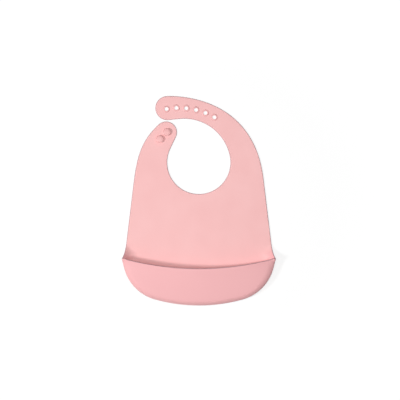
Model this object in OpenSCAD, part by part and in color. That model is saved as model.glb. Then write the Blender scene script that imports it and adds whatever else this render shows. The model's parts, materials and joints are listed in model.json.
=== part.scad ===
// Silicone bib with a catch pocket, a studded neck strap and a neck strap with a row of holes.
// It lies on its back with its front, the pocket side, facing up. X runs across it, and Y up it.
// Lengths are in millimetres and angles in degrees. Levels are distances below the neck's centre.

/* [Sheet] */
// Thickness of the sheet
sheet_t = 2; // [1.4:0.1:3]
// Half width of the sheet, level with the neck's centre
side_half_w = 91.3; // [80:0.1:105]
// Lean of the straight sides, which spread towards the pocket
lean_angle = 6.9; // [3:0.1:10]
// Level of the line that the chest folds on
chest_fold = 76; // [65:1:95]

/* [Neck opening] */
// Radius of the neck opening
neck_r = 46; // [40:0.5:50]
// Radius of the inner edge round the back of the neck
back_r = 68; // [62:0.5:74]
// Angle at which the neck circle widens into that edge
back_start_angle = 11.5; // [5:0.5:20]

/* [Hole strap] */
// Radius of the strap's round tip
tip_r = 17.5; // [15:0.5:20]
// Angle of the tip, seen from the centre of the back edge
tip_angle = 106.2; // [100:0.1:110]
// How far the tip stands outside the back edge
tip_lift = 1.4; // [0.5:0.1:4]
// Level at which the outer edge leaves the straight side
hole_side_start = 22.9; // [10:0.1:40]
// Pull of the outer edge's curve at the side
hole_side_pull = 110; // [90:1:125]
// Pull of the outer edge's curve at the tip
hole_tip_pull = 33; // [20:1:50]
// Angle on the tip where the outer edge meets it
hole_meet_angle = 91.6; // [85:0.1:100]

/* [Holes] */
// Number of holes
hole_count = 6; // [4:1:6]
// Diameter of a hole
hole_d = 5.5; // [4.5:0.1:6.5]
// Distance from a hole to the next
hole_pitch = 14.4; // [13.8:0.1:15]
// Radius of the arc that the holes lie on
hole_arc_r = 103; // [95:1:115]
// Heading of the first hole, seen from the centre of that arc
hole_row_angle = 100.2; // [97:0.1:103]
// First hole's place across from the tip's centre
first_hole_x = -1.3; // [-3:0.1:1]
// First hole's place along from the tip's centre
first_hole_y = -1.4; // [-3:0.1:1]

/* [Stud strap] */
// Radius of the strap's round tab
tab_r = 15.8; // [14:0.1:17]
// Angle of the tab, seen from the neck's centre
tab_angle = 137.4; // [134:0.1:142]
// How far the tab stands outside the neck circle
tab_lift = 2.9; // [1:0.1:4]
// Level at which the outer edge leaves the straight side
stud_side_start = 41.5; // [30:0.1:55]
// Pull of the outer edge's curve at the side
stud_side_pull = 41.4; // [30:0.1:55]
// Pull of the outer edge's curve at the tab
stud_tab_pull = 40.3; // [30:0.1:50]
// Angle on the tab where the outer edge meets it
tab_meet_angle = 132.3; // [125:0.1:140]

/* [Studs] */
// Distance between the two studs
stud_pitch = 14.5; // [13.8:0.1:15]
// Heading from the upper stud to the lower one
stud_row_angle = 225; // [215:1:235]
// Upper stud's place across from the tab's centre
first_stud_x = 1.1; // [-1:0.1:2]
// Upper stud's place along from the tab's centre
first_stud_y = 0.2; // [-1:0.1:2]
// Diameter of a stud's neck
stud_neck_d = 5; // [4:0.1:6]
// Diameter of a stud's head
stud_head_d = 11; // [9:0.1:12]
// Height of a stud's neck, which takes the other strap's thickness
stud_neck_h = 2.4; // [2:0.1:3.5]
// Height of a stud's head at its rim
stud_rim_h = 0.5; // [0.4:0.1:2]
// Height of the dome on a stud's head
stud_dome_h = 1.2; // [1:0.1:3.5]

/* [Pocket outline] */
// Level of the pocket's lowest edge
pocket_low = 208; // [195:1:220]
// Radius of the bottom edge
bottom_r = 238; // [210:1:280]
// Radius of the corners
corner_r = 63.7; // [56:0.1:68]
// Half angle of the bottom edge, where the corners start
corner_start_angle = 15.5; // [13:0.1:17]
// Slant of the edge between a corner and its ear
slant_angle = 14; // [10:0.5:18]
// Level of the ears, where the pocket's mouth ends
ear_level = 140.5; // [137:0.5:145]
// Level at which the straight sides start to flare out to the ears
flare_level = 118; // [110:1:124]
// Height along Y over which a flare turns in to its ear
flare_turn = 8; // [5:0.5:12]

/* [Pocket depth] */
// Drop of the mouth's edge between its ears and its middle
mouth_sag = 13; // [10:0.5:20]
// Height of the mouth's edge at its middle
mouth_h = 24; // [18:0.5:32]
// Height of the mouth's edge at its ends
mouth_end_h = 18; // [16.5:0.5:22]
// Height of the ears
ear_h = 17; // [12:0.5:20]
// Height of the fullest line of the bottom fold, at its middle
fold_h = 6; // [4:0.5:8]
// Height of that line at its ends, below the ears
fold_end_h = 12.5; // [9:0.5:13.5]
// Width of the bottom fold
fold_w = 9; // [6:0.5:12]
// Width of the sheet that curls up to an ear
ear_w = 24; // [16:1:30]
// Width of the curled sheet where a flare starts
flare_start_w = 2; // [1:0.5:4]

// Width over which the wall turns over from the fold, at its middle
wall_turn_w = 6; // [4:0.5:12]
// Width over which it turns over at its ends
wall_end_turn_w = 12; // [8:0.5:16]
// Share of the wall's rise that it makes at the fold, before it slopes up to the mouth
wall_turn_share = 0.5; // [0.3:0.05:0.7]

/* [Lip] */
// Width of the lip along the mouth
lip_w = 2.6; // [2:0.1:4]
// Thickness of the lip beyond the wall, above and below it
lip_swell = 0.5; // [0.2:0.1:1]

/* [Bending lines] */
// Clearance where two stretches of sheet bend on each other
bend_gap = 0.3; // [0.2:0.05:0.5]
// Hole strap's first bending line, an angle from the centre of the back edge
hole_bend_angle_1 = 10; // [4:0.5:16]
// Hole strap's second bending line
hole_bend_angle_2 = 31; // [26:0.5:36]
// Distance from the last hole to the hole strap's third bending line
last_hole_margin = 8; // [6:0.5:10]
// Stud strap's first bending line, an angle from the neck's centre
stud_bend_angle_1 = 190; // [184:0.5:196]
// Stud strap's second bending line
stud_bend_angle_2 = 165; // [163:0.5:172]

/* [Hidden] */
pink = [0.96, 0.73, 0.73];
blush = [0.94, 0.68, 0.69];
rose = [0.90, 0.62, 0.64];
$fn = 64;

// Longer than the bib, for cuts that go right across it
reach = 400;
// A bend's axis lies at half the sheet's thickness, and its nose is round about it
nose_r = sheet_t / 2;
bend_back = nose_r + bend_gap;

function dir(angle) = [cos(angle), sin(angle)];
function mix(a, b, share) = a + (b - a) * share;
function ease(share) = let (s = min(1, max(0, share))) s * s * (3 - 2 * s);
function side_at(level) = [side_half_w + tan(lean_angle) * level, -level];
function flip(p) = [-p[0], p[1]];

function arc(centre, r, from, to, steps) =
    [for (i = [0:steps]) centre + r * dir(mix(from, to, i / steps))];

function bezier(a, b, c, d, steps) =
    [for (i = [0:steps]) let (t = i / steps, s = 1 - t)
        s * s * s * a + 3 * s * s * t * b + 3 * s * t * t * c + t * t * t * d];

// ---- Outline of the straps, about the neck's centre ----

neck_c = [0, 0];
back_c = (neck_r - back_r) * dir(back_start_angle);

// A straight line joins each round end to the inner edge and touches both circles
tip_c = back_c + (back_r + tip_r + tip_lift) * dir(tip_angle);
tip_touch = tip_angle - acos((back_r + tip_r) / (back_r + tip_r + tip_lift));
tab_c = neck_c + (neck_r + tab_r + tab_lift) * dir(tab_angle);
tab_touch = tab_angle + acos((neck_r + tab_r) / (neck_r + tab_r + tab_lift));

side_up = [-sin(lean_angle), cos(lean_angle)];
hole_side = side_at(hole_side_start);
hole_meet = tip_c + tip_r * dir(hole_meet_angle);
hole_outer = bezier(
    hole_meet, hole_meet + hole_tip_pull * dir(hole_meet_angle - 90),
    hole_side + hole_side_pull * side_up, hole_side, 20);

stud_side = flip(side_at(stud_side_start));
stud_meet = tab_c + tab_r * dir(tab_meet_angle);
stud_outer = bezier(
    stud_side, stud_side + stud_side_pull * flip(side_up),
    stud_meet - stud_tab_pull * dir(tab_meet_angle - 90), stud_meet, 12);

neck_low_angle = 270;
neck_to_tab = arc(neck_c, neck_r, tab_touch, neck_low_angle, 14);
neck_to_back = arc(neck_c, neck_r, neck_low_angle, 360 + back_start_angle, 14);
back_edge = arc(back_c, back_r, back_start_angle, tip_touch, 14);
tip_edge = arc(tip_c, tip_r, tip_touch + 180, hole_meet_angle, 16);
tab_edge = arc(tab_c, tab_r, tab_meet_angle, tab_touch - 180, 14);

hole_strap_outline = concat(neck_to_back, back_edge, tip_edge, hole_outer, [side_at(chest_fold)]);
stud_strap_outline = concat([flip(side_at(chest_fold))], stud_outer, tab_edge, neck_to_tab);
chest_outline = concat(
    [flip(side_at(ear_level))], stud_outer, tab_edge, neck_to_tab, neck_to_back,
    back_edge, tip_edge, hole_outer, [side_at(ear_level)]);

// The frame's origin is under the middle of the whole bib
top_y = max([for (p = concat(tip_edge, hole_outer)) p[1]]);
frame_y = (pocket_low - top_y) / 2;

// ---- Holes and studs ----

hole_step = 2 * asin(hole_pitch / (2 * hole_arc_r));
first_hole = tip_c + [first_hole_x, first_hole_y];
hole_arc_c = first_hole - hole_arc_r * dir(hole_row_angle);
function hole_at(i) = hole_arc_c + hole_arc_r * dir(hole_row_angle - i * hole_step);

upper_stud_at = tab_c + [first_stud_x, first_stud_y];
lower_stud_at = upper_stud_at + stud_pitch * dir(stud_row_angle);

// The third bending line keeps its distance from the last hole, and the fourth runs midway
// between the tip's holes and the others
tip_holes = 3;
function heading(p) = atan2(p[1], p[0]);
last_hole_p = hole_at(hole_count - 1) - back_c;
hole_bend_angle_3 = heading(last_hole_p) - asin(last_hole_margin / norm(last_hole_p));
hole_bend_angle_4 = heading((hole_at(tip_holes - 1) + hole_at(tip_holes)) / 2 - back_c);

// ---- Pocket, by stations along half of its outline ----
// Station 0 is the middle of the bottom edge, 1 the start of the corner, 2 its end, 3 the ear,
// and 4 the top of the flare. Negative stations are the same places on the left.

bottom_c = [0, bottom_r - pocket_low];
corner_c = bottom_c + (bottom_r - corner_r) * dir(corner_start_angle - 90);
corner_end = corner_c + corner_r * dir(-slant_angle);
slant_len = (-ear_level - corner_end[1]) / cos(slant_angle);
ear = corner_end + slant_len * dir(90 - slant_angle);
flare_top = side_at(flare_level);
flare_ctrl = side_at(ear_level - flare_turn);

bottom_len = bottom_r * corner_start_angle * PI / 180;
corner_len = corner_r * (90 - corner_start_angle - slant_angle) * PI / 180;
half_len = bottom_len + corner_len + slant_len;

bottom_steps = 5;
corner_steps = 8;
slant_steps = 5;
flare_steps = 6;
// The wall ends short of the ear, and the fold rises to the ear past the wall's end
last_wall_station = 2.4;
ear_rise_station = 2.55;

function half_outline(s) =
    s <= 1 ? bottom_c + bottom_r * dir(s * corner_start_angle - 90) :
    s <= 2 ? corner_c + corner_r * dir(mix(corner_start_angle - 90, -slant_angle, s - 1)) :
    s <= 3 ? mix(corner_end, ear, s - 2) :
    let (t = s - 3) (1 - t) * (1 - t) * ear + 2 * t * (1 - t) * flare_ctrl + t * t * flare_top;

function inward_angle(s) =
    s <= 1 ? s * corner_start_angle + 90 :
    s <= 2 ? mix(corner_start_angle + 90, 180 - slant_angle, s - 1) :
    s <= 3 ? 180 - slant_angle :
    mix(180 - slant_angle, 180, s - 3);

// Width of the curved sheet between the flat panel and the outline
function curl_w(s) =
    s <= 3 ? mix(fold_w, ear_w, ease((s - 1.2) / 1.8)) : mix(ear_w, flare_start_w, ease(s - 3));

// Height of the outline: the fullest line of the fold, or the free edge of a flare
function full_h(s) =
    s <= 3 ? mix(
        mix(fold_h, fold_end_h, ease((s - 0.8) / (last_wall_station - 0.8))),
        ear_h, ease((s - ear_rise_station) / (3 - ear_rise_station))) :
    ear_h * pow(4 - s, 1.6);

// 1 where the sheet ends upright at the outline, and 0 where it only slopes
function upright(s) = 1 - ease((s - ear_rise_station) / 0.9);

function signed(p, s) = s < 0 ? flip(p) : p;
function outline_at(s) = signed(half_outline(abs(s)), s);
function outward(s) = signed(-dir(inward_angle(abs(s))), s);
function panel_edge(s) = outline_at(s) - curl_w(abs(s)) * outward(s);

function run_len(s) =
    s <= 1 ? s * bottom_len : s <= 2 ? bottom_len + (s - 1) * corner_len :
    bottom_len + corner_len + (s - 2) * slant_len;

// The mouth's edge is an arc from ear to ear, drawn here at the inner side of the lip
mouth_r = (ear[0] * ear[0] + mouth_sag * mouth_sag) / (2 * mouth_sag);
mouth_y = ear[1] - mouth_sag - lip_w;
function mouth_half(x) = [x, mouth_y + mouth_r - sqrt(mouth_r * mouth_r - x * x)];
function mouth_at(s) = signed(mouth_half(ear[0] * run_len(abs(s)) / half_len), s);
function mouth_z(s) = mix(mouth_h, mouth_end_h, pow(run_len(abs(s)) / half_len, 2));

half_stations = concat(
    [for (i = [0:bottom_steps - 1]) i / bottom_steps],
    [for (i = [0:corner_steps - 1]) 1 + i / corner_steps],
    [for (i = [0:slant_steps - 1]) 2 + i / slant_steps],
    [for (i = [0:flare_steps]) 3 + i / flare_steps]);

function both_sides(half) =
    concat([for (i = [len(half) - 1:-1:1]) -half[i]], half);

fold_stations = both_sides(half_stations);
wall_stations = both_sides([for (s = half_stations) if (s <= last_wall_station) s]);

function fold_outer(s, v) =
    let (w = curl_w(abs(s)), h = full_h(abs(s)), up = upright(abs(s)),
        out = mix(v, sin(90 * v), up) * w, z = mix(v * v, 1 - cos(90 * v), up) * h,
        p = panel_edge(s) + out * outward(s))
    [p[0], p[1], z];

function fold_inner(s, v) =
    let (w = curl_w(abs(s)), h = full_h(abs(s)), up = upright(abs(s)),
        out = mix(v * w, sin(90 * v) * (w - sheet_t), up),
        z = mix(v * v * h + sheet_t, h - (h - sheet_t) * cos(90 * v), up),
        p = panel_edge(s) + out * outward(s))
    [p[0], p[1], z];

// The wall rises upright from the fold, turns over as a quarter of an ellipse up to step
// turn_steps, and then slopes straight up to the mouth; inset is 0 outside
turn_steps = 5;
slope_steps = 3;
function wall_turn(s) = mix(wall_turn_w, wall_end_turn_w, ease((s - 1) / 1.2));
function wall_point(s, step, inset) =
    let (mouth = mouth_at(s), full = outline_at(s), span = norm(full - mouth),
        low = full_h(abs(s)) + bend_gap, high = mouth_z(s),
        reach = min(wall_turn(abs(s)), span * 0.7),
        corner = mix(low, high, wall_turn_share), join = mix(corner, high, reach / span),
        a = 90 * min(step / turn_steps, 1), t = max(step - turn_steps, 0) / slope_steps,
        along = mix(reach - (reach - inset) * cos(a), span, t),
        z = mix(low + (corner - low) * sin(a) + (join - corner) * (1 - cos(a)), high, t),
        p = full + (mouth - full) * along / span)
    [p[0], p[1], z - inset * sin(a)];

// The lip's section, as [distance past the wall's edge, height above its top]
lip_section = [
    [0, 0], [lip_w * 0.3, lip_swell], [lip_w * 0.75, lip_swell], [lip_w, -sheet_t * 0.2],
    [lip_w, -sheet_t * 0.8], [lip_w * 0.75, -sheet_t - lip_swell],
    [lip_w * 0.3, -sheet_t - lip_swell], [0, -sheet_t],
];

function lip_point(s, q) =
    let (mouth = mouth_at(s), full = outline_at(s), inward = (mouth - full) / norm(mouth - full),
        p = mouth + q[0] * inward)
    [p[0], p[1], mouth_z(s) + q[1]];

// ---- Building blocks ----

// A closed skin over rings of points. Each ring goes out along one face of the shell and back
// along the other, and the first and last rings are closed by a strip between the two.
module skin(rings) {
    n = len(rings[0]);
    last = len(rings) - 1;
    points = [for (ring = rings) each ring];
    sides = [for (i = [0:last - 1], j = [0:n - 1])
        let (a = i * n + j, b = i * n + (j + 1) % n, c = a + n, d = b + n)
        each [[a, b, d], [a, d, c]]];
    strip = [for (j = [0:n / 2 - 2]) each [[j, n - 1 - j, j + 1], [j + 1, n - 1 - j, n - 2 - j]]];
    end = [for (f = strip) [for (k = [2:-1:0]) f[k] + last * n]];
    polyhedron(points, concat(sides, strip, end), convexity = 6);
}

// An upright prism of an outline, taller than the sheet
module tall(outline) {
    translate([0, 0, -reach / 2]) linear_extrude(reach) polygon(outline);
}

// The flat sheet past a bending line, with its round nose on the line; side is 1 for the
// sheet that lies counterclockwise of the line, and -1 for clockwise
module past_bend(centre, angle, side) {
    translate([centre[0], centre[1], nose_r]) rotate(angle) scale_side(side)
        translate([-reach / 2, 0, 0]) rotate([90, 0, 90]) linear_extrude(reach) {
            circle(nose_r);
            translate([0, -nose_r]) square([reach, sheet_t]);
        }
}

// Space on the near side of a bending line, which ends just short of the nose
module before_bend(centre, angle, side) {
    translate(centre) rotate(angle) scale_side(side)
        translate([0, -reach - bend_back, -reach / 2]) cube([reach, reach, reach]);
}

// Space past a bending line, which leaves room for the nose
module beyond_bend(centre, angle, side) {
    translate(centre) rotate(angle) scale_side(side)
        translate([0, -bend_back, -reach / 2]) cube([reach, reach, reach]);
}

module scale_side(side) {
    if (side < 0) mirror([0, 1, 0]) children();
    else children();
}

module hole(i) {
    p = hole_at(i);
    translate([p[0], p[1], -sheet_t]) cylinder(h = 3 * sheet_t, d = hole_d);
}

module hole_strap_part(from, to) {
    intersection() {
        tall(hole_strap_outline);
        past_bend(back_c, from, 1);
        before_bend(back_c, to, 1);
    }
}

// A mushroom stud: a neck as tall as the strap that it holds, and a domed head
module stud(at) {
    head_r = stud_head_d / 2;
    neck_top = sheet_t + stud_neck_h;
    rim_top = neck_top + stud_rim_h;
    crown_angle = 75;
    translate([at[0], at[1], 0]) rotate_extrude() polygon([
        [0, sheet_t], [stud_neck_d / 2, sheet_t], [stud_neck_d / 2, neck_top], [head_r, neck_top],
        for (a = [0:15:crown_angle]) [head_r * cos(a), rim_top + stud_dome_h * sin(a)],
        [0, rim_top + stud_dome_h * sin(crown_angle)],
    ]);
}

// ---- Parts ----

module lower_panel() {
    edge = [for (s = fold_stations) panel_edge(s)];
    top = side_at(chest_fold + bend_back);
    color(pink) linear_extrude(sheet_t)
        polygon(concat([flip(top), flip(flare_top)], edge, [flare_top, top]));
}

module pocket_fold() {
    steps = 5;
    color(blush) skin([for (s = fold_stations) concat(
        [for (j = [0:steps]) fold_outer(s, j / steps)],
        [for (j = [steps:-1:0]) fold_inner(s, j / steps)])]);
}

module pocket_wall() {
    steps = turn_steps + slope_steps;
    color(blush) skin([for (s = wall_stations) concat(
        [for (j = [0:steps]) wall_point(s, j, 0)],
        [for (j = [steps:-1:0]) wall_point(s, j, sheet_t)])]);
}

module pocket_lip() {
    color(rose) skin([for (s = wall_stations) [for (q = lip_section) lip_point(s, q)]]);
}

module upper_panel() {
    color(pink) difference() {
        intersection() {
            tall(chest_outline);
            past_bend([0, -chest_fold], 0, 1);
        }
        beyond_bend(back_c, hole_bend_angle_1, 1);
        beyond_bend(neck_c, stud_bend_angle_1, -1);
    }
}

module stud_strap() {
    color(pink) intersection() {
        tall(stud_strap_outline);
        past_bend(neck_c, stud_bend_angle_1, -1);
        before_bend(neck_c, stud_bend_angle_2, -1);
    }
}

module stud_tab() {
    color(pink) intersection() {
        tall(stud_strap_outline);
        past_bend(neck_c, stud_bend_angle_2, -1);
    }
}

module upper_stud() {
    color(rose) stud(upper_stud_at);
}

module lower_stud() {
    color(rose) stud(lower_stud_at);
}

module hole_strap_shoulder() {
    color(pink) hole_strap_part(hole_bend_angle_1, hole_bend_angle_2);
}

module hole_strap_side() {
    color(pink) hole_strap_part(hole_bend_angle_2, hole_bend_angle_3);
}

module hole_strap_back() {
    color(pink) difference() {
        hole_strap_part(hole_bend_angle_3, hole_bend_angle_4);
        for (i = [tip_holes:hole_count - 1]) hole(i);
    }
}

module hole_strap_tip() {
    color(pink) difference() {
        intersection() {
            tall(hole_strap_outline);
            past_bend(back_c, hole_bend_angle_4, 1);
        }
        for (i = [0:tip_holes - 1]) hole(i);
    }
}

translate([0, frame_y, 0]) {
    lower_panel();
    pocket_fold();
    pocket_wall();
    pocket_lip();
    upper_panel();
    stud_strap();
    stud_tab();
    upper_stud();
    lower_stud();
    hole_strap_shoulder();
    hole_strap_side();
    hole_strap_back();
    hole_strap_tip();
}
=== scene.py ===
# %% [markdown]
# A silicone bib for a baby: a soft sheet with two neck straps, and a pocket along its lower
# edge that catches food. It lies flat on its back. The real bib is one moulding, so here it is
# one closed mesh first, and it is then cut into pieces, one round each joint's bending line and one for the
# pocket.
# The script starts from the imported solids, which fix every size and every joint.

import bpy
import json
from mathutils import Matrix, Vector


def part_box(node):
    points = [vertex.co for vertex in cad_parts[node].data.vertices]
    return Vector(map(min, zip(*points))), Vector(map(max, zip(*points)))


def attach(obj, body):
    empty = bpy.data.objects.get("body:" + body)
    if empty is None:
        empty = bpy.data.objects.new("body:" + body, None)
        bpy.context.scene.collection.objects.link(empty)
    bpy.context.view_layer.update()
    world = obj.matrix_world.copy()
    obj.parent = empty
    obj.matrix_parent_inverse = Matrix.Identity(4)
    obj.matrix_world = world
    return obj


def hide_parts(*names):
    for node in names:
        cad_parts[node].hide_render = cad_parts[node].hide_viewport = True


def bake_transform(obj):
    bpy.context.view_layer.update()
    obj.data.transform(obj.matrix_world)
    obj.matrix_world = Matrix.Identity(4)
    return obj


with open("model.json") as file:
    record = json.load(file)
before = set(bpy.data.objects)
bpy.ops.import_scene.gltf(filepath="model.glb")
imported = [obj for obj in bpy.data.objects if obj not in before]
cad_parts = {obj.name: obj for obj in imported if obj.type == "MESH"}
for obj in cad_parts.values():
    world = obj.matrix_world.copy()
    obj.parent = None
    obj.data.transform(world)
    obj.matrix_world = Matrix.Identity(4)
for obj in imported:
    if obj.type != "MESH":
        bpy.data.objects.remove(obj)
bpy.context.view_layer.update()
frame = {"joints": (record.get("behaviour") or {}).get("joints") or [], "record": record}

# %% Libraries, and where the neck is
import json
import math

import bmesh
import bpy
import numpy as np
from mathutils import Vector
from mathutils.geometry import delaunay_2d_cdt

MM = 0.001
record = frame["record"]
mounts = {m["name"]: m for m in record["mounts"]}
joints = {j["name"]: j for j in frame["joints"]}
neck_y = mounts["neck_opening"]["pos_m"][1] / MM
print("the neck's centre is", round(neck_y, 2), "mm up the bib")

# %% [markdown]
# A bib's outline is a few arcs and lines that touch each other smoothly. Drawing it from the
# same named sizes as the solids keeps the two alike, and gives as many points as a smooth
# render needs. Sizes are in millimetres about the neck's centre, with levels counted downwards.

# %% Sizes of the sheet and straps
sheet_t = 2.0
side_half_w, lean_angle = 91.3, 6.9
neck_r, back_r, back_start_angle = 46.0, 68.0, 11.5
tip_r, tip_angle, tip_lift = 17.5, 106.2, 1.4
hole_side_start, hole_side_pull, hole_tip_pull, hole_meet_angle = 22.9, 110.0, 33.0, 91.6
tab_r, tab_angle, tab_lift = 15.8, 137.4, 2.9
stud_side_start, stud_side_pull, stud_tab_pull, tab_meet_angle = 41.5, 41.4, 40.3, 132.3
# Outline points lie 2 mm apart, and a curve is taken as 1.1 times as long as its chord.
point_gap, same_point, arc_over_chord = 2.0, 0.05, 1.1
print("the sheet is", sheet_t, "mm thick and", 2 * side_half_w, "mm wide beside the neck")

# %% Small helpers for angles, mixing and mirroring
def direction(angle):
    return np.array([math.cos(math.radians(angle)), math.sin(math.radians(angle))])


def mix(a, b, share):
    return a + (b - a) * share


def ease(share):
    s = min(1.0, max(0.0, share))
    return s * s * (3 - 2 * s)


def flip(p):
    return np.array([-p[0], *p[1:]])


def side_at(level):
    return np.array([side_half_w + math.tan(math.radians(lean_angle)) * level, -level])


print("the right side passes", side_at(0).round(1), "and", side_at(100).round(1))


# %% Lines, arcs and curves as rows of points
def line(a, b):
    n = max(1, round(np.linalg.norm(b - a) / point_gap))
    return [mix(a, b, i / n) for i in range(n + 1)]


def arc(centre, r, start, end):
    n = max(2, round(abs(math.radians(end - start)) * r / point_gap))
    return [centre + r * direction(mix(start, end, i / n)) for i in range(n + 1)]


def bezier(a, b, c, d):
    n = round(np.linalg.norm(d - a) * arc_over_chord / point_gap)
    t = [i / n for i in range(n + 1)]
    return [(1 - u) ** 3 * a + 3 * (1 - u) ** 2 * u * b + 3 * (1 - u) * u * u * c + u ** 3 * d for u in t]


def joined(*rows):
    points = []
    for row in rows:
        points += [p for p in row if not points or np.linalg.norm(p - points[-1]) > same_point]
    return np.array(points)


print("a quarter turn of the neck takes", len(arc(np.zeros(2), neck_r, 0, 90)), "points")

# %% Centres of the arcs
neck_c = np.zeros(2)
back_c = (neck_r - back_r) * direction(back_start_angle)
tip_c = back_c + (back_r + tip_r + tip_lift) * direction(tip_angle)
tip_touch = tip_angle - math.degrees(math.acos((back_r + tip_r) / (back_r + tip_r + tip_lift)))
tab_c = (neck_r + tab_r + tab_lift) * direction(tab_angle)
tab_touch = tab_angle + math.degrees(math.acos((neck_r + tab_r) / (neck_r + tab_r + tab_lift)))
side_up = direction(90 + lean_angle)
print("strap tip at", tip_c.round(1), "and stud tab at", tab_c.round(1))

# %% [markdown]
# The pocket is described by stations along half of its outline: 0 is the middle of the bottom
# edge, 1 to 2 is the round corner, 3 is the ear where the mouth ends, and 4 is where the straight
# side edge starts to flare. At each station the sheet curls up from the flat panel to the outline,
# turns over, and runs inwards to the mouth. The left half is the same with its sign turned.

# %% Sizes of the pocket
pocket_low, bottom_r, corner_r, corner_start_angle = 208.0, 238.0, 63.7, 15.5
slant_angle, ear_level, flare_level, flare_turn = 14.0, 140.5, 118.0, 8.0
mouth_sag, mouth_h, mouth_end_h, ear_h = 15.0, 24.0, 18.0, 17.0
fold_h, fold_end_h, fold_w, ear_w, flare_start_w = 6.0, 12.5, 9.0, 24.0, 6.0
bead_r, bead_w = 1.4, 4.0
wall_turn_w, wall_end_turn_w, wall_turn_share, wall_turn_limit = 6.0, 12.0, 0.5, 0.7
mouth_lift = 2.0

# Stations where the curl starts to widen, where the fold starts and ends its rise and where the
# curl starts to lean towards the ear. It leans over 0.9 stations, and the wall's turn widens over 1.2.
curl_start, rise_start, rise_end, lean_start, lean_run, turn_run = 1.2, 0.8, 2.4, 2.55, 0.9, 1.2
flare_power = 1.6
# Over the last 7 per cent of the half outline the mouth's edge fades into the ear, and over its
# last sixth the bead thins out.
fade_start, fade_run, bead_fade = 0.93, 0.07, 6

bottom_c = np.array([0, bottom_r - pocket_low])
corner_c = bottom_c + (bottom_r - corner_r) * direction(corner_start_angle - 90)
corner_end = corner_c + corner_r * direction(-slant_angle)
slant_len = (-ear_level - corner_end[1]) / math.cos(math.radians(slant_angle))
ear = corner_end + slant_len * direction(90 - slant_angle)
flare_top, flare_ctrl = side_at(flare_level), side_at(ear_level - flare_turn)
bottom_len = bottom_r * math.radians(corner_start_angle)
corner_len = corner_r * math.radians(90 - corner_start_angle - slant_angle)
half_len = bottom_len + corner_len + slant_len
mouth_r = (ear[0] ** 2 + mouth_sag ** 2) / (2 * mouth_sag)
print("ear at", ear.round(1), "and half the pocket's outline is", round(half_len, 1), "mm")


# %% The outline by station
def half_outline(s):
    if s <= 1:
        return bottom_c + bottom_r * direction(s * corner_start_angle - 90)
    if s <= 2:
        return corner_c + corner_r * direction(mix(corner_start_angle - 90, -slant_angle, s - 1))
    if s <= 3:
        return mix(corner_end, ear, s - 2)
    t = s - 3
    return (1 - t) ** 2 * ear + 2 * t * (1 - t) * flare_ctrl + t * t * flare_top


def inward_angle(s):
    if s <= 1:
        return s * corner_start_angle + 90
    if s <= 2:
        return mix(corner_start_angle + 90, 180 - slant_angle, s - 1)
    return 180 - slant_angle if s <= 3 else mix(180 - slant_angle, 180, s - 3)


def run_share(s):
    run = (s * bottom_len if s <= 1 else bottom_len + (s - 1) * corner_len if s <= 2
           else bottom_len + corner_len + (s - 2) * slant_len)
    return run / half_len


print("the middle of the round corner is at", half_outline(1.5).round(1))


# %% Widths and heights by station
def curl_w(s):
    if s > 3:
        return mix(ear_w, flare_start_w, ease(s - 3))
    return mix(fold_w, ear_w, ease((s - curl_start) / (3 - curl_start)))


def full_h(s):
    if s > 3:
        return ear_h * (4 - s) ** flare_power
    low = mix(fold_h, fold_end_h, ease((s - rise_start) / (rise_end - rise_start)))
    return mix(low, ear_h, ease((s - lean_start) / (3 - lean_start)))


def upright(s):
    return 1 - ease((s - lean_start) / lean_run)


def mouth_z(s):
    return mix(mouth_h, mouth_end_h, run_share(s) ** 2)


print("the fold is", full_h(0), "mm high in the middle and", full_h(3), "mm at the ear")


# %% The middle of the sheet, from the flat panel out to the fold
half_t = sheet_t / 2


def fold_point(s, v):
    """The curl's point at a share v of its width, on the half with positive stations."""
    w, h, up = curl_w(s) - half_t, full_h(s), upright(s)
    out = mix(v, math.sin(math.pi / 2 * v), up) * w
    z = mix(v * v * h + half_t, h - (h - half_t) * math.cos(math.pi / 2 * v), up)
    p = half_outline(s) + (curl_w(s) - out) * direction(inward_angle(s))
    return np.array([*p, z])


print("the fold's ear is at", fold_point(3, 1).round(1))


# %% The middle of the sheet, from the fold in to the mouth
def mouth_point(s):
    share = run_share(s)
    tip = fold_point(3, 1)
    x = tip[0] * share
    y = ear[1] - mouth_sag + mouth_lift + mouth_r - math.sqrt(mouth_r ** 2 - x * x)
    fade = ease((share - fade_start) / fade_run)
    back = bead_r * (1 - fade)
    return np.array([x, mix(y - back, tip[1], fade), mix(mouth_z(s) - half_t, tip[2], fade)])


fold_rows, wall_rows, turn_rows = 9, 18, 10


def wall_row(s):
    """Points from the fold in to the mouth: a quarter of an ellipse, and then a straight slope."""
    start, end = fold_point(s, 1), mouth_point(s)
    across = end[:2] - start[:2]
    w = np.linalg.norm(across)
    reach = min(mix(wall_turn_w, wall_end_turn_w, ease((s - 1) / turn_run)), wall_turn_limit * w)
    corner_z = mix(start[2], end[2], wall_turn_share)
    join_z = mix(corner_z, end[2], reach / w)
    points = []
    for i in range(1, wall_rows + 1):
        a = math.pi / 2 * min(i / turn_rows, 1)
        t = max(i - turn_rows, 0) / (wall_rows - turn_rows)
        d = mix(reach * (1 - math.cos(a)), w, t)
        z = start[2] + (corner_z - start[2]) * math.sin(a) + (join_z - corner_z) * (1 - math.cos(a))
        points.append(np.array([*(start[:2] + across * d / w), mix(z, end[2], t)]))
    return points


print("the middle of the mouth is at", mouth_point(0).round(1))

# %% Stations along the pocket
steps_per_part = (26, 27, 8, 11)
half_stations = [part + i / n for part, n in enumerate(steps_per_part) for i in range(n)] + [4.0]
stations = [-s for s in reversed(half_stations[1:])] + half_stations
print(len(stations), "stations round the pocket, with", fold_rows + wall_rows, "steps across it")

# %% [markdown]
# The flat sheet has a long curved edge and six holes, so triangles fill it best. A constrained
# Delaunay triangulation keeps the edges, and an even spread of points inside lets the sheet
# bend smoothly later. The row of points along the pocket's curl is shared with the curl itself,
# so there is no seam there.

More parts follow.
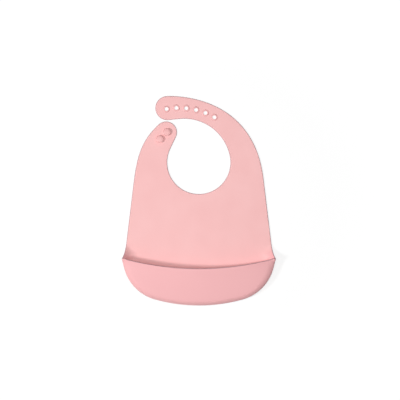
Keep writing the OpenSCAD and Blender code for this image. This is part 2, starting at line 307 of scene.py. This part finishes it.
# %% The flat sheet's edge, set in by half its thickness
edge = joined(
    line(flare_top, side_at(hole_side_start)),
    bezier(side_at(hole_side_start), side_at(hole_side_start) + hole_side_pull * side_up,
           tip_c + tip_r * direction(hole_meet_angle) + hole_tip_pull * direction(hole_meet_angle - 90),
           tip_c + tip_r * direction(hole_meet_angle)),
    arc(tip_c, tip_r, hole_meet_angle, tip_touch + 180),
    arc(back_c, back_r, tip_touch, back_start_angle),
    arc(neck_c, neck_r, 360 + back_start_angle, tab_touch),
    arc(tab_c, tab_r, tab_touch - 180, tab_meet_angle),
    bezier(tab_c + tab_r * direction(tab_meet_angle),
           tab_c + tab_r * direction(tab_meet_angle) - stud_tab_pull * direction(tab_meet_angle - 90),
           flip(side_at(stud_side_start)) + stud_side_pull * flip(side_up), flip(side_at(stud_side_start))),
    line(flip(side_at(stud_side_start)), flip(flare_top)),
)


def inset(points, distance):
    """The row moved to its left, which is into the sheet."""
    along = np.gradient(points, axis=0)
    along /= np.linalg.norm(along, axis=1)[:, None]
    return points + distance * np.column_stack([-along[:, 1], along[:, 0]])


rim_row = inset(edge, half_t)
near_row = inset(edge, 2 * half_t)
print(len(edge), "points round the straps and the neck")

# %% Points of the pocket's columns
mid_points, mid_half_t, faces = [], [], []


def add_point(p, half=half_t):
    mid_points.append(np.array(p, float))
    mid_half_t.append(half)
    return len(mid_points) - 1


def signed(p, s):
    return flip(p) if s < 0 else p


columns = []
for s in stations:
    side = abs(s)
    column = [add_point(signed(fold_point(side, j / fold_rows), s)) for j in range(fold_rows + 1)]
    if side < 3:
        row = wall_row(side)
        for p in row:
            near_mouth = ease(1 - np.linalg.norm(p[:2] - row[-1][:2]) / bead_w)
            swell = near_mouth * min(1, bead_fade * (1 - run_share(side)))
            column.append(add_point(signed(p, s), half_t + (bead_r - half_t) * swell))
    elif side == 3:
        column += [column[-1]] * wall_rows
    columns.append(column)

for a, b in zip(columns, columns[1:]):
    for j in range(min(len(a), len(b)) - 1):
        quad = [a[j], a[j + 1], b[j + 1], b[j]]
        face = [v for k, v in enumerate(quad) if v != quad[k - 1]]
        if len(face) > 2:
            faces.append(face)
print(len(mid_points), "points in the pocket")

# %% Rows of points that the flat sheet's triangles follow
hole_names = sorted(name for name in mounts if name.startswith("strap_hole_"))
holes = [np.array(mounts[name]["pos_m"][:2]) / MM - [0, neck_y] for name in hole_names]
bore_r, under_rim = mounts[hole_names[0]]["dims"]["r_mm"], 1.6
hole_edge_r = bore_r + under_rim
ring_gap, degrees_apart, trim = 0.9, 12, 3

# Once round the sheet: from the right flare over the straps to the left flare, in along the left
# column, back beside the pocket's curl, and out along the right column
straps = [add_point([*p, half_t]) for p in rim_row[1:-1]]
right, left = columns[-1], columns[0]
ring = [right[fold_rows], *straps, *reversed(left), *(c[0] for c in columns[1:-1]), *right[:fold_rows]]
near_ring = [add_point([*p, half_t]) for p in near_row[trim:-trim]]
constraints = list(zip(ring, ring[1:] + ring[:1])) + list(zip(near_ring, near_ring[1:]))
for centre in holes:
    for r in (hole_edge_r, hole_edge_r + ring_gap):
        circle = [add_point([*(centre + r * direction(a)), half_t]) for a in range(0, 360, degrees_apart)]
        constraints += list(zip(circle, circle[1:] + circle[:1]))
print(len(holes), "holes of", 2 * bore_r, "mm, and", len(constraints), "short lines to follow")

# %% An even spread of points, 3.2 mm apart, inside the edge and clear of the holes
spacing, row_share, edge_gap = 3.2, 0.866, 2.4
outer = np.array([mid_points[i][:2] for i in ring])
low, high = outer.min(0), outer.max(0)
grid = np.array([[x + (k % 2) * spacing / 2, y]
                 for k, y in enumerate(np.arange(low[1], high[1], spacing * row_share))
                 for x in np.arange(low[0], high[0], spacing)])
# A point is inside where a line from it to one side crosses the edge an odd number of times.
crossings = np.zeros(len(grid), int)
for a, b in zip(outer, np.roll(outer, -1, axis=0)):
    spans = (a[1] > grid[:, 1]) != (b[1] > grid[:, 1])
    if a[1] != b[1]:
        crossings += spans & (grid[:, 0] < a[0] + (grid[:, 1] - a[1]) * (b[0] - a[0]) / (b[1] - a[1]))
gap = np.min(np.linalg.norm(grid[:, None] - outer[None], axis=2), axis=1)
for centre in holes:
    gap = np.minimum(gap, np.linalg.norm(grid - centre, axis=1) - hole_edge_r)
spread = grid[(crossings % 2 == 1) & (gap > edge_gap)]
print(len(spread), "of", len(grid), "points lie on the sheet")

# %% Triangles of the flat sheet
for p in spread:
    add_point([*p, half_t])
used = sorted({*ring, *range(straps[0], len(mid_points))})
slot_of = {v: i for i, v in enumerate(used)}
inside_only, merge_within, hair = 1, 1e-6, 0.1
flat = delaunay_2d_cdt([Vector(mid_points[v][:2]) for v in used],
                       [(slot_of[a], slot_of[b]) for a, b in constraints], [], inside_only, merge_within)
out_points, out_faces, origins = flat[0], flat[2], flat[3]
for tri in out_faces:
    centre = sum((out_points[i] for i in tri), Vector((0, 0))) / 3
    if all(np.linalg.norm(np.array(centre) - c) > hole_edge_r - hair for c in holes):
        faces.append([used[origins[i][0]] for i in tri])
print(len(faces), "faces in the middle surface")

# %% [markdown]
# A moulded sheet has the same thickness all over, and its edge is fully round. So each point is
# pushed half the thickness to both sides, and every free edge gets a half circle of small steps.
# The mouth's edge is a little thicker, as a bead that keeps the pocket open. Every point keeps
# two numbers that the material reads to paint shade: how far round the rim it lies, and how far
# the sheet stands free of the table there.

# %% Which way each point of the middle surface faces, and where the surface ends
def facing(points, faces):
    """Every point's normal, its direction out over a free edge, and the pairs along free edges."""
    normals, outward = np.zeros_like(points), np.zeros_like(points)
    face_normal = {}
    for face in faces:
        corner = points[face]
        n = np.zeros(3)
        for k in range(1, len(face) - 1):
            n += np.cross(corner[k] - corner[0], corner[k + 1] - corner[0])
        for v in face:
            normals[v] += n
        unit = n / np.linalg.norm(n)
        for a, b in zip(face, face[1:] + face[:1]):
            face_normal[a, b] = unit
    normals /= np.maximum(np.linalg.norm(normals, axis=1), 1e-12)[:, None]
    free_edges = [(a, b) for a, b in face_normal if (b, a) not in face_normal]
    for a, b in free_edges:
        out = np.cross(points[b] - points[a], face_normal[a, b])
        out /= np.linalg.norm(out)
        outward[a] += out
        outward[b] += out
    return normals, outward, free_edges


middle = np.array(mid_points)
normals, outward, free_edges = facing(middle, faces)
print(len(free_edges), "steps along the free edges: the outline, the mouth and the holes")

# %% Points on both faces of the sheet
# The sheet starts to stand free of the table 2 mm up, and is wholly free from 10 mm.
free_from, free_to = 2.0, 10.0
shell_points, shell_shares, top, under = [], [], {}, {}


def put(p, rim, v):
    """A point of the closed sheet, with its two shares, made from point v of the middle surface."""
    shell_points.append(p)
    shell_shares.append((rim, ease((middle[v][2] - free_from) / (free_to - free_from))))
    return len(shell_points) - 1


for v in sorted({v for face in faces for v in face}):
    top[v] = put(middle[v] + mid_half_t[v] * normals[v], 0, v)
    under[v] = put(middle[v] - mid_half_t[v] * normals[v], 0, v)
print(len(shell_points), "points on the two faces of the sheet")

# %% Round free edges
rim_steps = 8
turn = {}
for v in sorted({v for pair in free_edges for v in pair}):
    out = outward[v] - normals[v] * np.dot(outward[v], normals[v])
    out /= np.linalg.norm(out)
    turn[v] = [top[v]]
    for k in range(1, rim_steps):
        a = math.pi * k / rim_steps
        offset = math.sin(a) * out + math.cos(a) * normals[v]
        turn[v].append(put(middle[v] + mid_half_t[v] * offset, math.sin(a), v))
    turn[v].append(under[v])
shell_faces = [[top[v] for v in face] for face in faces]
shell_faces += [[under[v] for v in reversed(face)] for face in faces]
for a, b in free_edges:
    shell_faces += [[turn[a][k], turn[a][k + 1], turn[b][k + 1], turn[b][k]] for k in range(rim_steps)]
print(len(shell_points), "points with the round edges, and", len(shell_faces), "faces")

# %% The closed sheet
sheet = bmesh.new()
rim_layer = sheet.verts.layers.float.new("rim")
free_layer = sheet.verts.layers.float.new("free")
for p, (rim, free) in zip(shell_points, shell_shares):
    vert = sheet.verts.new(Vector((p[0], p[1] + neck_y, p[2])) * MM)
    vert[rim_layer], vert[free_layer] = rim, free
sheet.verts.ensure_lookup_table()
for face in shell_faces:
    sheet.faces.new([sheet.verts[v] for v in face]).smooth = True
open_edges = [e for e in sheet.edges if not e.is_manifold]
print(len(sheet.verts), "points in the closed sheet,", len(open_edges), "open edges,",
      round(sheet.calc_volume() * 1e6, 1), "cubic cm")

# %% [markdown]
# Real silicone bends anywhere. A joint turns about one line, so the sheet is cut where it stays
# stiff, between two bending lines, and each piece but the pocket's holds one line of its own. Every cut
# is a plane through the one closed sheet, so neighbours meet exactly and nothing shows.

# %% Cutting pieces from the sheet
def row_point(p, z=half_t):
    return Vector((p[0], p[1] + neck_y, z)) * MM


def cut_piece(name, *cuts):
    """The part of the sheet that lies behind each cut, given as a point and a direction."""
    piece = sheet.copy()
    for point, away in cuts:
        bmesh.ops.bisect_plane(
            piece, geom=piece.verts[:] + piece.edges[:] + piece.faces[:], dist=1e-8,
            plane_co=row_point(point), plane_no=(*away, 0), clear_outer=True)
        caps = bmesh.ops.holes_fill(piece, edges=[e for e in piece.edges if e.is_boundary], sides=0)["faces"]
        for cap in caps:
            cap.smooth = False
            for e in cap.edges:
                e.smooth = False
    mesh = bpy.data.meshes.new(name)
    piece.normal_update()
    piece.to_mesh(mesh)
    open_edges = sum(not e.is_manifold for e in piece.edges)
    piece.free()
    obj = bpy.data.objects.new(name, mesh)
    bpy.context.scene.collection.objects.link(obj)
    print(name, "has", len(mesh.polygons), "faces and", open_edges, "open edges")
    return obj


# %% [markdown]
# Each bending line comes from its joint: a point on the line and the direction it runs in. The
# cuts go midway between two lines, and one of them stays clear of the holes.

# %% Bending lines and cuts
def bend_line(joint):
    at = Vector(joints[joint]["pos_m"]) / MM
    run = joints[joint]["axis"]
    return np.array([at.x, at.y - neck_y]), np.array([-run[1], run[0]])


# How far a bend reaches before its line and after it. It has to end short of every cut, so that
# neighbours still meet there, and a strap's end may curl over a longer stretch.
soft_reach = {
    "chest_fold": (8.0, 16.0),
    "stud_strap_lift": (11.5, 9.9), "stud_strap_bend_2": (9.9, 9.9),
    "hole_strap_lift": (12.2, 12.3), "hole_strap_bend_2": (12.3, 12.4),
    "hole_strap_bend_3": (12.5, 16.0), "hole_strap_bend_4": (11.8, 18.0),
}
chest_cut = -100.0
hole_cut_angles, stud_cut_angles = (-0.5, 20.5, 41.6, 72.8), (205, 177.5)
ends_cut_drop, ends_cut_angle = 0.9, 81


def radial_cut(centre, angle, turn):
    """A cut along a line out of a centre; turn 1 takes the sheet counterclockwise of it away."""
    return centre, turn * direction(angle + 90)


def other_side(cut):
    return cut[0], -np.array(cut[1])


for joint in soft_reach:
    print(joint, "turns about", bend_line(joint)[0].round(1))

# %% Pieces of the sheet
chest_to_hole, *hole_cuts = [radial_cut(back_c, a, 1) for a in hole_cut_angles]
chest_to_stud, stud_cut = [radial_cut(neck_c, a, -1) for a in stud_cut_angles]
between_ends = ((tab_c + tip_c) / 2 + [0, -ends_cut_drop], direction(ends_cut_angle))
left_half, right_half = (neck_c, direction(0)), (neck_c, direction(180))
pieces = {
    "pocket_and_lower_panel": [((0, chest_cut), (0, 1))],
    "chest_and_upper_panel": [((0, chest_cut), (0, -1)), chest_to_hole, chest_to_stud],
    "stud_strap_root": [other_side(chest_to_stud), stud_cut, left_half],
    "stud_strap_tab": [other_side(stud_cut), between_ends, left_half],
    "hole_strap_root": [other_side(chest_to_hole), hole_cuts[0], right_half],
    "hole_strap_shoulder_bend": [other_side(hole_cuts[0]), hole_cuts[1]],
    "hole_strap_side_bend": [other_side(hole_cuts[1]), hole_cuts[2]],
    "hole_strap_end": [other_side(hole_cuts[2]), other_side(between_ends)],
}
parts = {name: cut_piece(name, *cuts) for name, cuts in pieces.items()}
sheet.free()

# %% [markdown]
# The rims round the holes stop them tearing, and they repeat along the strap. The studs repeat
# too. Both are turned shapes, so one kind of Geometry Nodes tree makes them: a grid is rolled
# into a ring, two curves give its radius and its height, and the ring is set on each point.

# %% A way to add nodes
def add_node(tree, kind, links=(), **settings):
    """A node with its settings. An input takes a value, a socket, or a node for its first output."""
    node = tree.nodes.new(kind)
    for key, value in settings.items():
        setattr(node, key, value)
    for key, value in dict(links).items():
        if isinstance(value, bpy.types.Node):
            value = value.outputs[0]
        if isinstance(value, bpy.types.NodeSocket):
            tree.links.new(value, node.inputs[key])
        else:
            node.inputs[key].default_value = value
    return node


def set_curve(node, values):
    """The node's curve runs straight from value to value, in equal steps."""
    points = node.mapping.curves[0].points
    steps = len(values) - 1
    while len(points) < len(values):
        points.new(0.5, 0.5)
    for i, value in enumerate(values):
        points[i].location = (i / steps, value)
        points[i].handle_type = "VECTOR"
    node.mapping.update()


tree_inputs = {"Geometry": "NodeSocketGeometry", "Radius": "NodeSocketFloat", "Height": "NodeSocketFloat",
               "Segments": "NodeSocketInt", "Finish": "NodeSocketMaterial"}
print("a turned shape is given its", ", ".join(tree_inputs))


# %% A turned shape on every point
def turned_tree(name, profile):
    """profile holds (share of the radius, share of the height), once round the section."""
    tree = bpy.data.node_groups.new(name, "GeometryNodeTree")
    interface = tree.interface
    sockets = {label: interface.new_socket(label, in_out="INPUT", socket_type=kind).identifier
               for label, kind in tree_inputs.items()}
    interface.new_socket("Geometry", in_out="OUTPUT", socket_type="NodeSocketGeometry")
    given = add_node(tree, "NodeGroupInput").outputs
    # The grid is 1 by 1 about its middle. Its x becomes the turn, and its y runs along the section.
    across = add_node(tree, "ShaderNodeMath", {0: given["Segments"], 1: 1.0}, operation="ADD")
    grid = add_node(tree, "GeometryNodeMeshGrid", {
        "Size X": 1.0, "Size Y": 1.0, "Vertices X": across, "Vertices Y": len(profile)})
    position = add_node(tree, "GeometryNodeInputPosition")
    grid_x, grid_y, _ = add_node(tree, "ShaderNodeSeparateXYZ", {0: position}).outputs
    turn = add_node(tree, "ShaderNodeMath", {0: grid_x, 1: 2 * math.pi}, operation="MULTIPLY")
    along = add_node(tree, "ShaderNodeMath", {0: grid_y, 1: 0.5}, operation="ADD")
    spans = []
    for size, shares in zip(("Radius", "Height"), zip(*profile)):
        curve = add_node(tree, "ShaderNodeFloatCurve", {"Value": along})
        set_curve(curve, shares)
        spans.append(add_node(tree, "ShaderNodeMath", {0: curve, 1: given[size]}, operation="MULTIPLY"))
    spot = add_node(tree, "ShaderNodeCombineXYZ", {2: spans[1]})
    for side, job in enumerate(("COSINE", "SINE")):
        wave = add_node(tree, "ShaderNodeMath", {0: turn}, operation=job)
        out = add_node(tree, "ShaderNodeMath", {0: wave, 1: spans[0]}, operation="MULTIPLY")
        tree.links.new(out.outputs[0], spot.inputs[side])
    rolled = add_node(tree, "GeometryNodeSetPosition", {"Geometry": grid, "Position": spot})
    closed = add_node(tree, "GeometryNodeMergeByDistance", {"Geometry": rolled, "Distance": 1e-6})
    smooth = add_node(tree, "GeometryNodeSetShadeSmooth", {"Geometry": closed, "Shade Smooth": True})
    copies = add_node(tree, "GeometryNodeInstanceOnPoints", {
        "Points": given["Geometry"], "Instance": smooth})
    real = add_node(tree, "GeometryNodeRealizeInstances", {"Geometry": copies})
    made = add_node(tree, "GeometryNodeSetMaterial", {"Geometry": real, "Material": given["Finish"]})
    add_node(tree, "NodeGroupOutput", {0: made})
    print(name, "has a section of", len(profile), "points in", len(tree.nodes), "nodes")
    return tree, sockets


# %% From the tree to one plain mesh
def turned_pieces(name, shape, centres, radius, height, segments, finish):
    """One plain mesh with the tree's shape on each centre, given in metres."""
    tree, sockets = shape
    mesh = bpy.data.meshes.new(name + "_points")
    mesh.from_pydata([tuple(c) for c in centres], [], [])
    seed = bpy.data.objects.new(name + "_seed", mesh)
    bpy.context.scene.collection.objects.link(seed)
    modifier = seed.modifiers.new("turned", "NODES")
    modifier.node_group = tree
    for label, value in [("Radius", radius), ("Height", height), ("Segments", segments), ("Finish", finish)]:
        modifier[sockets[label]] = value
    plain = bpy.data.meshes.new_from_object(seed.evaluated_get(bpy.context.evaluated_depsgraph_get()))
    plain.name = name
    bpy.data.objects.remove(seed)
    obj = bpy.data.objects.new(name, plain)
    bpy.context.scene.collection.objects.link(obj)
    shell = bmesh.new()
    shell.from_mesh(plain)
    volume = shell.calc_volume()
    print(name, "has", len(plain.polygons), "faces and", round(volume * 1e9, 1), "cubic mm")
    shell.free()
    return obj


# %% [markdown]
# Silicone for babies' things is moulded in steel tools whose surface is lightly blasted. That
# gives a matte, slightly velvety skin with no grain to see from afar. It is one pink all through;
# the deeper pink at free edges and on the pocket's wall is painted shade.

# %% Colours, grain and gloss of moulded silicone
# The edge pink is painted shade for the dark line round the outline.
silicone_ior, edge_shade_spread, painted_edge_shade = 1.41, 0.5, "BC8E93"
# Pigment is milled into the rubber, so the pink drifts a little over about 60 mm. Blasted tool
# steel leaves a grain of about 0.1 mm, drawn about 0.7 mm wide here so that it shows. Hands
# polish it in patches, taken as about 30 mm wide. So 8 drifts or 17 patches fit in 500 mm, and 7
# grains in 5 mm.
drift_w, grain_w, patch_w = 500 / 8, 5 / 7, 500 / 17
drift = {"Scale": 1 / (drift_w * MM), "Detail": 2.0, "Roughness": 0.4}
grain = {"Scale": 1 / (grain_w * MM), "Detail": 3.0, "Roughness": 0.6}
patches = {"Scale": 1 / (patch_w * MM), "Detail": 3.0, "Roughness": 0.55}
# Most of a noise lies between these two values.
noise_low, noise_high = 0.3, 0.7
grain_strength, smoother, rougher = 0.25, 0.05, 0.07


def srgb(text):
    """A hex colour as the linear values that a shader takes."""
    parts = [int(text[i:i + 2], 16) / 255 for i in (0, 2, 4)]
    return [*(c / 12.92 if c <= 0.04045 else ((c + 0.055) / 1.055) ** 2.4 for c in parts), 1.0]


print("the edges' deeper pink is, as light,", [round(c, 3) for c in srgb(painted_edge_shade)[:3]])


# %% Finish: moulded silicone, matte or satin
def silicone(name, tones, pocket_shade_tone, roughness, grain_depth):
    material = bpy.data.materials.new(name)
    material.use_nodes = True
    tree = material.node_tree
    tree.nodes.clear()
    place = add_node(tree, "ShaderNodeTexCoord").outputs["Object"]
    blots = add_node(tree, "ShaderNodeTexNoise", {"Vector": place, **drift})
    tone = add_node(tree, "ShaderNodeMix", {
        0: blots, 6: srgb(tones[0]), 7: srgb(tones[1])}, data_type="RGBA").outputs[2]
    # Painted shade: where the sheet stands free of the table, as on the pocket's wall, the pink
    # is deepened so the wall reads darker than the flat panel.
    free = add_node(tree, "ShaderNodeAttribute", attribute_name="free").outputs["Fac"]
    pocket = add_node(tree, "ShaderNodeMix", {
        0: free, 6: tone, 7: srgb(pocket_shade_tone)}, data_type="RGBA").outputs[2]
    # Painted shade: the last millimetre round a free edge is deepened further, for the dark line
    # that edge shading and contact shadow draw along the outline.
    rim = add_node(tree, "ShaderNodeAttribute", attribute_name="rim").outputs["Fac"]
    edge_shade_share = add_node(tree, "ShaderNodeMath", {0: rim, 1: edge_shade_spread}, operation="POWER")
    painted_shade_colour = add_node(tree, "ShaderNodeMix", {
        0: edge_shade_share, 6: pocket, 7: srgb(painted_edge_shade)}, data_type="RGBA").outputs[2]
    grains = add_node(tree, "ShaderNodeTexNoise", {"Vector": place, **grain})
    bump = add_node(tree, "ShaderNodeBump", {
        "Height": grains, "Strength": grain_strength, "Distance": grain_depth})
    polish = add_node(tree, "ShaderNodeTexNoise", {"Vector": place, **patches})
    gloss = add_node(tree, "ShaderNodeMapRange", {
        "Value": polish, "From Min": noise_low, "From Max": noise_high,
        "To Min": roughness - smoother, "To Max": roughness + rougher})
    shader = add_node(tree, "ShaderNodeBsdfPrincipled", {
        "Base Color": painted_shade_colour, "Roughness": gloss, "IOR": silicone_ior, "Normal": bump})
    add_node(tree, "ShaderNodeOutputMaterial", {"Surface": shader})
    print(name, "roughness about", roughness)
    return material


# The third colour of each finish is the pocket's painted shade.
matte_silicone = silicone(
    "silicone_matte_moulded", ("FBC4C3", "F9BEBD"), "F7B9BB", roughness=0.55, grain_depth=0.06 * MM)
# Small round parts such as studs and rims usually come from turned inserts in the tool, which
# are smoother than the rest, so they shine a little more.
satin_silicone = silicone(
    "silicone_satin_moulded", ("F7BBBA", "F5B6B5"), "F5B6B5", roughness=0.42, grain_depth=0.03 * MM)

# %% Rims round the holes
# The section goes from the bore's back edge up, over the bead and out to the sheet. Its bead is
# given as shares of the radius beyond the bore, and its foot as shares of the radius.
rim_r, rim_h, rim_segments = 5.2, 2.75, 40
bore_share = bore_r / rim_r
rim_bead = [(0.06, 0.0), (0.015, 0.03), (0, 0.12), (0, 0.5), (0, 0.84), (0.015, 0.92), (0.06, 0.975),
            (0.13, 1.0), (0.2, 0.985), (0.27, 0.93), (0.34, 0.84), (0.40, 0.765)]
rim_foot = [(1.0, 0.724), (1.0, 0.6), (0.84, 0.3), (0.8, 0.05), (0.78, 0.0)]
rim_profile = [(bore_share + out, up) for out, up in rim_bead] + rim_foot
rim_shape = turned_tree("hole_rim", rim_profile + rim_profile[:1])


def rims(name, numbers):
    centres = [row_point(holes[i - 1], 0) for i in numbers]
    return turned_pieces(name, rim_shape, centres, rim_r * MM, rim_h * MM, rim_segments, satin_silicone)


side_rims = rims("hole_rims_side", (5, 6))
end_rims = rims("hole_rims_end", (1, 2, 3, 4))

# %% [markdown]
# A stud is a mushroom: a neck about as tall as the strap that it holds, and a wide domed head
# that snaps through a hole. Its foot spreads into the sheet with a small round, so it can't tear off.

# %% Studs
stud_low, stud_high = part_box("upper_stud")
stud_r = (stud_high.x - stud_low.x) / 2 / MM
stud_top = stud_high.z / MM
stud_foot, dome_from, stud_neck_r, stud_segments = 1.0, 4.85, 2.5, 48
neck_share = stud_neck_r / stud_r


def stud_z(z):
    return (z - stud_foot) / (stud_top - stud_foot)


def dome_at(angle):
    a = math.radians(angle)
    return max(math.cos(a), 0), stud_z(dome_from + (stud_top - dome_from) * math.sin(a))


# Shares of the radius with their levels in mm: beyond the neck's for foot and neck, and whole for
# the head's edge. The dome is a quarter of an ellipse.
foot_and_neck = [(0.25, 1.95), (0.12, 2.12), (0.03, 2.5), (0, 3.0), (0, 4.0), (0.05, 4.35)]
head_edge = [(0.88, 4.4), (0.97, 4.5)]
stud_profile = [
    (0.0, 0.0), (neck_share + foot_and_neck[0][0], 0.0),
    *((neck_share + out, stud_z(z)) for out, z in foot_and_neck),
    *((out, stud_z(z)) for out, z in head_edge),
    *(dome_at(angle) for angle in (0, 15, 30, 42, 54, 64, 74, 82, 90))]
stud_centres = []
for node in ("upper_stud", "lower_stud"):
    low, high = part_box(node)
    stud_centres.append(((low.x + high.x) / 2, (low.y + high.y) / 2, stud_foot * MM))
studs = turned_pieces("closing_studs", turned_tree("stud", stud_profile), stud_centres, stud_r * MM,
                      (stud_top - stud_foot) * MM, stud_segments, satin_silicone)

# %% [markdown]
# Each piece now gets its finish and hides the solids it stands for, and its shape is set in
# place. The studs are hung on the body of the strap's end.

# %% Ways to dress a piece and to set its shape in place
def dress(obj, stands_for, finish=matte_silicone):
    obj.data.materials.clear()
    obj.data.materials.append(finish)
    if stands_for:
        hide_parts(*stands_for)


def bend(obj):
    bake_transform(obj)


longest = max(soft_reach, key=lambda joint: sum(soft_reach[joint]))
print("the longest bend is", longest, "over", round(sum(soft_reach[longest]), 1), "mm")

# %% Finish of every piece
bends = {
    "chest_and_upper_panel": ("chest_fold", ["upper_panel"]),
    "stud_strap_root": ("stud_strap_lift", ["stud_strap"]),
    "stud_strap_tab": ("stud_strap_bend_2", ["stud_tab"]),
    "hole_strap_root": ("hole_strap_lift", ["hole_strap_shoulder"]),
    "hole_strap_shoulder_bend": ("hole_strap_bend_2", ["hole_strap_side"]),
    "hole_strap_side_bend": ("hole_strap_bend_3", ["hole_strap_back"]),
    "hole_strap_end": ("hole_strap_bend_4", ["hole_strap_tip"]),
}
for name, (joint, stands_for) in bends.items():
    dress(parts[name], stands_for)
    bend(parts[name])

for obj, joint in ((side_rims, "hole_strap_bend_3"), (end_rims, "hole_strap_bend_4")):
    dress(obj, [], satin_silicone)
    bend(obj)

dress(studs, ["upper_stud", "lower_stud"], satin_silicone)
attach(studs, "stud_end")

pocket = parts["pocket_and_lower_panel"]
dress(pocket, ["lower_panel", "pocket_fold", "pocket_wall", "pocket_lip"])
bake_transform(pocket)
print(len([*parts, side_rims, end_rims, studs]), "pieces have a finish and a way to move")

# %% [markdown]
# The bib lies on a white table top. A soft light stands high on its left and another hangs right
# above it, and the world fills the shadows a little. What the camera sees of the table and of the
# world is white, and the table keeps the bib's shadow.

# %% What the camera sees of the table and the world
white, paper_white = srgb("FFFFFF"), srgb("FCFCFC")


def seen_rays(tree):
    """1 for what the camera sees, straight on or in a reflection, and 0 for light on surfaces."""
    path = add_node(tree, "ShaderNodeLightPath").outputs
    seen = add_node(tree, "ShaderNodeMath", {
        0: path["Is Camera Ray"], 1: path["Is Glossy Ray"]}, operation="MAXIMUM")
    return add_node(tree, "ShaderNodeMath", {0: seen, 1: path["Is Transmission Ray"]}, operation="MAXIMUM")


print("the white table sends back", round(paper_white[0], 3), "of the light")

# %% Table top: white laminate, pressed smooth and matte
# It glows white for the camera. Near the bib the glow is held back, so the shadow stays.
glow_near, glow_far, glow_strength = 0.75, 1.0, 1.05
held_to, whole_from = 0.19, 0.42
table_half, table_drop = 3.0, 0.0003
table_finish = bpy.data.materials.new("white_laminate_table")
table_finish.use_nodes = True
tree = table_finish.node_tree
tree.nodes.clear()
paper = add_node(tree, "ShaderNodeBsdfDiffuse", {"Color": paper_white})
glow = add_node(tree, "ShaderNodeEmission", {"Color": white, "Strength": glow_strength})
place = add_node(tree, "ShaderNodeTexCoord").outputs["Object"]
away = add_node(tree, "ShaderNodeVectorMath", {0: place}, operation="LENGTH").outputs["Value"]
reach = add_node(tree, "ShaderNodeMapRange", {
    "Value": away, "From Min": held_to, "From Max": whole_from, "To Min": glow_near, "To Max": glow_far})
amount = add_node(tree, "ShaderNodeMath", {0: seen_rays(tree), 1: reach}, operation="MULTIPLY")
both = add_node(tree, "ShaderNodeMixShader", {0: amount, 1: paper, 2: glow})
add_node(tree, "ShaderNodeOutputMaterial", {"Surface": both})

table_mesh = bpy.data.meshes.new("table_top")
corners = [(x * table_half, y * table_half, -table_drop) for x, y in ((-1, -1), (1, -1), (1, 1), (-1, 1))]
table_mesh.from_pydata(corners, [], [(0, 1, 2, 3)])
table = bpy.data.objects.new("table_top", table_mesh)
table_mesh.materials.append(table_finish)
bpy.context.scene.collection.objects.link(table)
print("the table's glow is held to", glow_near, "up to", held_to, "m from the middle")

# %% World
world = bpy.data.worlds.new("soft_studio")
bpy.context.scene.world = world
world.use_nodes = True
tree = world.node_tree
tree.nodes.clear()
fill_strength = 0.06
level = add_node(tree, "ShaderNodeMapRange", {
    "Value": seen_rays(tree), "To Min": fill_strength, "To Max": 1.0})
sky = add_node(tree, "ShaderNodeBackground", {"Color": white, "Strength": level})
add_node(tree, "ShaderNodeOutputWorld", {"Surface": sky})
print("the world's fill is", fill_strength)

# %% Soft lights from the left and from above
def area_light(name, at, target, size, power):
    data = bpy.data.lights.new(name, "AREA")
    data.shape, data.size, data.energy = "DISK", size, power
    lamp = bpy.data.objects.new(name, data)
    lamp.location = at
    lamp.rotation_euler = (Vector(target) - Vector(at)).to_track_quat("-Z", "Y").to_euler()
    bpy.context.scene.collection.objects.link(lamp)
    print(name, "is", round(math.dist(at, target), 2), "m away")


area_light("softbox_above", at=(0, 0, 1.1), target=(0, 0, 0), size=0.5, power=6.05)
area_light("softbox_left", at=(-1.93, -0.44, 2.05), target=(0, 0, 0), size=0.5, power=43.0)

# %% Camera straight above
view_width, aim_x, aim_y = 0.5824, 0.0017, 0.0010
lens, sensor, far_end = 200.0, 36.0, 20.0
camera_data = bpy.data.cameras.new("camera")
camera_data.lens, camera_data.sensor_width = lens, sensor
camera = bpy.data.objects.new("camera", camera_data)
camera.location = (aim_x, aim_y, view_width * lens / sensor)
camera_data.clip_end = far_end
bpy.context.scene.collection.objects.link(camera)
bpy.context.scene.camera = camera
bpy.context.scene.view_settings.view_transform = "Standard"
print("the camera is", round(camera.location.z, 2), "m above the table")
